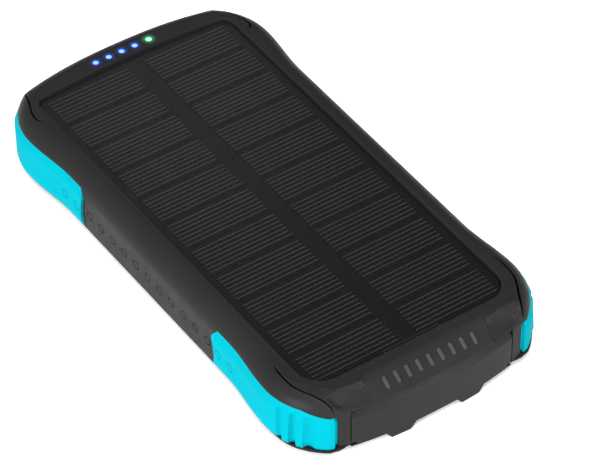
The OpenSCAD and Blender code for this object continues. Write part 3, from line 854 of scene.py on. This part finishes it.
class Finish:
    """A node material with the parts that most finishes share."""

    def __init__(self, name, color, rough, metallic=0.0, specular=0.5):
        self.material = bpy.data.materials.new(name)
        self.material.use_nodes = True
        tree = self.material.node_tree
        self.nodes, self.links = tree.nodes, tree.links
        self.shader = self.nodes["Principled BSDF"]
        self.shader.inputs["Metallic"].default_value = metallic
        self.shader.inputs["Specular IOR Level"].default_value = specular
        self.place = self.nodes.new("ShaderNodeTexCoord").outputs["Object"]
        self.color, self.rough = color, rough
        self.color_out = None
        self.bump_out = None

    def add(self, kind, **values):
        node = self.nodes.new(kind)
        for key, value in values.items():
            setattr(node, key, value)
        return node

    def put(self, value, socket):
        if hasattr(value, "links"):
            self.links.new(value, socket)
        else:
            socket.default_value = value

    def stretched(self, scale):
        node = self.add("ShaderNodeMapping")
        node.inputs["Scale"].default_value = scale
        self.links.new(self.place, node.inputs["Vector"])
        return node.outputs["Vector"]

    def noise(self, scale, detail=3, vector=None):
        node = self.add("ShaderNodeTexNoise")
        node.inputs["Scale"].default_value = scale
        node.inputs["Detail"].default_value = detail
        node.inputs["Roughness"].default_value = 0.55
        self.links.new(vector or self.place, node.inputs["Vector"])
        return node.outputs["Fac"]

    def cells(self, scale, feature="F1", out="Distance"):
        node = self.add("ShaderNodeTexVoronoi", feature=feature)
        node.inputs["Scale"].default_value = scale
        self.links.new(self.place, node.inputs["Vector"])
        return node.outputs[out]

    def remap(self, value, a, b, c, d):
        node = self.add("ShaderNodeMapRange")
        for i, v in enumerate((value, a, b, c, d)):
            self.put(v, node.inputs[i])
        return node.outputs["Result"]

    def math(self, operation, a, b=0.0):
        node = self.add("ShaderNodeMath", operation=operation)
        self.put(a, node.inputs[0])
        self.put(b, node.inputs[1])
        return node.outputs[0]

    def mix(self, factor, a, b):
        node = self.add("ShaderNodeMix", data_type="RGBA")
        self.put(factor, node.inputs[0])
        self.put((*a, 1) if isinstance(a, tuple) else a, node.inputs[6])
        self.put((*b, 1) if isinstance(b, tuple) else b, node.inputs[7])
        return node.outputs[2]

    def tint(self, factor, other):
        base = self.color_out if self.color_out is not None else self.color
        self.color_out = self.mix(factor, base, other)
        return self

    def mottle(self, scale, amount, other):
        """Broad, faint variation of colour."""
        return self.tint(self.remap(self.noise(scale), 0.35, 0.65, 0, amount), other)

    def edges(self, radius, amount, other):
        """Painted edge highlight: lighter colour along the edges, where the bevel normal turns from the face's
        normal, in patches.
        """
        bevel = self.add("ShaderNodeBevel", samples=4)
        bevel.inputs["Radius"].default_value = radius
        here = self.add("ShaderNodeNewGeometry")
        dot = self.add("ShaderNodeVectorMath", operation="DOT_PRODUCT")
        self.links.new(bevel.outputs["Normal"], dot.inputs[0])
        self.links.new(here.outputs["Normal"], dot.inputs[1])
        edge_highlight = self.remap(dot.outputs["Value"], 0.995, 0.8, 0, amount)
        patchy_highlight = self.math("MULTIPLY", edge_highlight, self.remap(self.noise(260, 4), 0.3, 0.65, 0.3, 1))
        return self.tint(patchy_highlight, other)

    def bump(self, height, distance, strength=1.0):
        node = self.add("ShaderNodeBump")
        node.inputs["Strength"].default_value = strength
        node.inputs["Distance"].default_value = distance
        self.links.new(height, node.inputs["Height"])
        if self.bump_out is not None:
            self.links.new(self.bump_out, node.inputs["Normal"])
        self.bump_out = node.outputs["Normal"]
        return self

    def done(self, spread=0.06, scale=180):
        shader = self.shader
        if self.color_out is not None:
            self.links.new(self.color_out, shader.inputs["Base Color"])
        else:
            shader.inputs["Base Color"].default_value = (*self.color, 1)
        rough = self.remap(self.noise(scale, 4), 0.3, 0.7, self.rough - spread, self.rough + spread)
        self.links.new(rough, shader.inputs["Roughness"])
        if self.bump_out is not None:
            self.links.new(self.bump_out, shader.inputs["Normal"])
        return self.material


def plastic(name, color, rough, grain=0.00003, specular=0.5, glow=None):
    """Moulded plastic or rubber with a fine grain; glow adds light that falls on it."""
    f = Finish(name, color, rough, specular=specular)
    f.mottle(38, 0.5, tuple(c * 1.25 for c in color))
    # painted highlight: lighter colour along the edges
    f.edges(0.0005, 0.45, tuple(c * 2.2 + 0.01 for c in color))
    specks = f.remap(f.cells(900), 0.0, 0.16, 0.35, 0)
    f.tint(specks, tuple(c * 1.5 for c in color))
    f.bump(f.noise(2600, 2), grain)
    f.bump(f.cells(1500), grain * 0.6)
    if glow:
        glow(f)
    return f.done()


def metal(name, color, rough, stretch=(60, 3000, 3000)):
    f = Finish(name, color, rough, metallic=1)
    f.mottle(200, 0.4, tuple(c * 0.8 for c in color))
    # painted highlight: lighter colour along the edges
    f.edges(0.0002, 0.4, tuple(min(1, c * 1.2) for c in color))
    f.bump(f.noise(1, 3, vector=f.stretched(stretch)), 0.000008)
    return f.done(0.07, 900)


def light_halo(f):
    """Light from each lens spreads over the plastic round it."""
    total = {}
    for x, colour in zip(lights, ["blue"] * 4 + ["green"]):
        away = f.add("ShaderNodeVectorMath", operation="DISTANCE")
        f.links.new(f.place, away.inputs[0])
        away.inputs[1].default_value = (x * MM, light_y * MM, top_z * MM)
        near = f.remap(away.outputs["Value"], 0.0006, 0.0026 if colour == "green" else 0.0023, 1, 0)
        near = f.math("POWER", near, 2.2)
        total[colour] = f.math("ADD", total[colour], near) if colour in total else near
    is_green = f.math("MINIMUM", f.math("MULTIPLY", total["green"], 20), 1)
    glow = f.mix(is_green, (0.02, 0.07, 0.75), (0.02, 0.6, 0.15))
    f.links.new(glow, f.shader.inputs["Emission Color"])
    f.links.new(f.math("ADD", total["blue"], total["green"]), f.shader.inputs["Emission Strength"])


def lens_finish(name, color, emit):
    f = Finish(name, color, 0.25)
    f.mottle(900, 0.5, tuple(min(1, c * 1.4 + 0.05) for c in color))
    middle = f.remap(f.noise(700, 2), 0.3, 0.7, emit * 0.8, emit * 1.2)
    f.links.new(f.mix(f.noise(600), color, tuple(min(1, c * 1.2 + 0.06) for c in color)),
                f.shader.inputs["Emission Color"])
    f.links.new(middle, f.shader.inputs["Emission Strength"])
    f.bump(f.noise(2500, 2), 0.00001)
    return f.done(0.05, 800)


def board(name):
    f = Finish(name, (0.008, 0.075, 0.035), 0.35)
    f.mottle(90, 0.6, (0.012, 0.11, 0.05))
    brick = f.add("ShaderNodeTexBrick")
    f.links.new(f.stretched((420, 420, 420)), brick.inputs["Vector"])
    brick.inputs["Scale"].default_value = 1
    brick.inputs["Mortar Size"].default_value = 0.06
    f.tint(f.math("MULTIPLY", brick.outputs["Fac"], 0.6), (0.02, 0.2, 0.09))
    f.tint(f.remap(f.cells(520), 0.10, 0.07, 0, 0.9), (0.55, 0.4, 0.16))
    f.bump(brick.outputs["Fac"], 0.00002)
    return f.done(0.05, 600)


def foil():
    f = Finish("pouch_foil", (0.55, 0.56, 0.58), 0.32, metallic=1)
    f.mottle(60, 0.5, (0.45, 0.46, 0.48))
    f.bump(f.cells(160, "SMOOTH_F1"), 0.0002, 0.6)
    f.bump(f.noise(900, 4), 0.00003)
    return f.done(0.1, 200)


def foam(name, color):
    f = Finish(name, color, 0.9)
    f.mottle(120, 0.5, tuple(c * 0.7 for c in color))
    f.tint(f.remap(f.cells(1800), 0.35, 0.1, 0, 0.7), tuple(c * 0.5 for c in color))
    f.bump(f.cells(1800), 0.0001)
    return f.done()


def silicon(name, color):
    f = Finish(name, color, 0.3)
    f.tint(f.remap(f.cells(140, out="Color"), 0, 1, 0.0, 0.2), tuple(c * 1.4 for c in color))
    f.mottle(30, 0.4, (color[0] * 1.3, color[1] * 1.1, color[2] * 1.4))
    f.bump(f.noise(2200, 2), 0.000003)
    return f.done(0.03, 300)


def resin_finish():
    f = Finish("panel_resin", (0.006, 0.006, 0.0065), 0.36, specular=0.3)
    f.mottle(26, 0.5, (0.009, 0.0085, 0.0095))
    f.bump(f.noise(60, 2), 0.00002, 0.5)
    f.bump(f.noise(3200, 2), 0.000006)
    f.shader.inputs["Alpha"].default_value = 0.3
    return f.done(0.05, 70)


def copper_film():
    f = Finish("flex_film", (0.42, 0.2, 0.05), 0.35)
    wave = f.add("ShaderNodeTexWave", wave_type="BANDS", bands_direction="X")
    wave.inputs["Scale"].default_value = 320
    f.links.new(f.place, wave.inputs["Vector"])
    f.tint(f.remap(wave.outputs["Fac"], 0.4, 0.6, 0, 0.8), (0.6, 0.35, 0.12))
    f.mottle(80, 0.4, (0.3, 0.13, 0.04))
    f.bump(wave.outputs["Fac"], 0.00003)
    return f.done()


def turquoise_rubber():
    f = Finish("bumper_elastomer", (0.0, 0.27, 0.33), 0.6, specular=0.01)
    f.mottle(45, 0.5, (0.0, 0.285, 0.345))
    # painted highlight: lighter colour along the edges
    f.edges(0.0005, 0.4, (0.01, 0.32, 0.38))
    f.tint(f.remap(f.noise(700, 5), 0.58, 0.72, 0, 0.25), (0.0, 0.23, 0.28))
    f.bump(f.noise(2200, 3), 0.00003)
    f.bump(f.cells(1300), 0.000015)
    return f.done(0.07, 120)


finishes = {
    "shell_black": plastic("soft_touch_shell", (0.0165, 0.0165, 0.0167), 0.4, specular=0.05, glow=light_halo),
    "cover_black": plastic("textured_cover", (0.012, 0.012, 0.0121), 0.55, grain=0.00006, specular=0.06),
    "bumper_turquoise": turquoise_rubber(),
    "gasket_grey": plastic("gasket_rubber", (0.05, 0.05, 0.055), 0.7),
    "foot_rubber": plastic("foot_rubber", (0.015, 0.015, 0.015), 0.75, grain=0.00008),
    "screw_steel": metal("screw_steel", (0.45, 0.45, 0.47), 0.3),
    "socket_steel": metal("socket_steel", (0.60, 0.60, 0.62), 0.28, (3000, 60, 3000)),
    "panel_tape": foam("panel_tape", (0.62, 0.62, 0.6)),
    "panel_backing": silicon("panel_backing", (0.007, 0.007, 0.0072)),
    "solar_cell": silicon("cell_silicon", (0.0045, 0.0042, 0.0055)),
    "panel_resin": resin_finish(),
    "wire_red": plastic("wire_red", (0.45, 0.02, 0.02), 0.4),
    "pouch_foil": foil(),
    "foam_grey": foam("foam_grey", (0.14, 0.14, 0.15)),
    "circuit_board": board("circuit_board"),
    "chip_black": plastic("chip_epoxy", (0.018, 0.018, 0.018), 0.5),
    "inductor_grey": plastic("inductor_ferrite", (0.06, 0.06, 0.06), 0.6, grain=0.00008),
    "insert_white": plastic("insert_white", (0.7, 0.7, 0.68), 0.4),
    "insert_black": plastic("insert_black", (0.015, 0.015, 0.015), 0.4),
    "led_white": plastic("led_white", (0.75, 0.75, 0.68), 0.35),
    "flex_copper": copper_film(),
    "lens_blue": lens_finish("lens_blue", (0.10, 0.28, 1.0), 1.2),
    "lens_green": lens_finish("lens_green", (0.18, 1.0, 0.45), 2.3),
    "flap_black": plastic("flap_rubber", (0.0155, 0.0155, 0.0157), 0.37, specular=0.06),
    "button_black": plastic("button_rubber", (0.014, 0.014, 0.015), 0.6),
    "plunger_red": plastic("plunger_red", (0.4, 0.04, 0.03), 0.45),
}
line_finish = metal("cell_line_silver", (0.20, 0.19, 0.20), 0.55, (3000, 60, 3000))
line_finish.node_tree.nodes["Principled BSDF"].inputs["Metallic"].default_value = 0
key_line_finish = silicon("key_line", (0.10, 0.10, 0.10))
rib_finish = plastic("rib_faces", (0.04, 0.04, 0.0404), 0.4, specular=0.08)
gold = metal("contact_gold", (0.75, 0.5, 0.16), 0.25, (3000, 60, 3000))


def paint(obj, material):
    obj.data.materials.clear()
    obj.data.materials.append(material)
    for p in obj.data.polygons:
        p.material_index = 0


painted = {shell: "shell_black", cover: "cover_black", feet: "foot_rubber",
           flap: "flap_black", resin: "panel_resin", blue_lens: "lens_blue", green_lens: "lens_green",
           button: "button_black"}
painted.update({piece: "bumper_turquoise" for piece in bumpers})
for piece, name in painted.items():
    paint(piece, finishes[name])
paint(lip_ribs, rib_finish)
paint(bus, line_finish)
paint(mark, key_line_finish)
paint(pads, gold)

carried = {s["node"]: s["material_slot"] for s in frame["record"]["subparts"]}
for name, obj in frame["nodes"].items():
    if obj.hide_render:
        continue
    paint(obj, finishes[carried[name]])
    size = min(obj.dimensions)
    bevel = obj.modifiers.new("round", "BEVEL")
    bevel.width = min(0.00012, size * 0.12)
    bevel.segments = 2
    bevel.limit_method = "ANGLE"
    bevel.angle_limit = math.radians(40)

# ---- Stage and light ----

bpy.ops.mesh.primitive_plane_add(size=12, location=(0, 0, -0.0002))
floor = bpy.context.object
floor.name = "floor"
pale = bpy.data.materials.new("floor")
pale.use_nodes = True
for socket, value in (("Base Color", (0.93, 0.93, 0.93, 1)), ("Roughness", 0.95),
                      ("Specular IOR Level", 0.1), ("Emission Color", (1, 1, 1, 1)),
                      ("Emission Strength", 0.3)):
    pale.node_tree.nodes["Principled BSDF"].inputs[socket].default_value = value
floor.data.materials.append(pale)


def area_light(name, place, size, power):
    """A round soft light aimed at the object's middle."""
    data = bpy.data.lights.new(name, "AREA")
    data.shape = "DISK"
    data.size = size
    data.energy = power
    obj = bpy.data.objects.new(name, data)
    obj.location = place
    aim = Vector((0, 0, 0.01)) - Vector(place)
    obj.rotation_mode = "QUATERNION"
    obj.rotation_quaternion = aim.to_track_quat("-Z", "Y")
    obj.visible_camera = False
    scene.collection.objects.link(obj)


area_light("left", (-1.62, -0.40, 0.50), 0.9, 44)
area_light("front", (0.55, -1.35, 0.32), 0.4, 13)
area_light("lip", (0.61, -0.82, 1.10), 0.5, 4)
area_light("key", (-0.46, -0.62, 1.39), 0.4, 10)
area_light("top", (-0.3, -0.3, 2.2), 2.0, 17)
area_light("back", (0.16, 0.32, 0.30), 0.12, 0.04)

world = bpy.data.worlds.new("studio")
scene.world = world
world.use_nodes = True
world.node_tree.nodes["Background"].inputs["Color"].default_value = (1, 1, 1, 1)
world.node_tree.nodes["Background"].inputs["Strength"].default_value = 0.2
scene.view_settings.view_transform = "Standard"
scene.view_settings.look = "None"
scene.view_settings.exposure = 0
scene.view_settings.gamma = 1
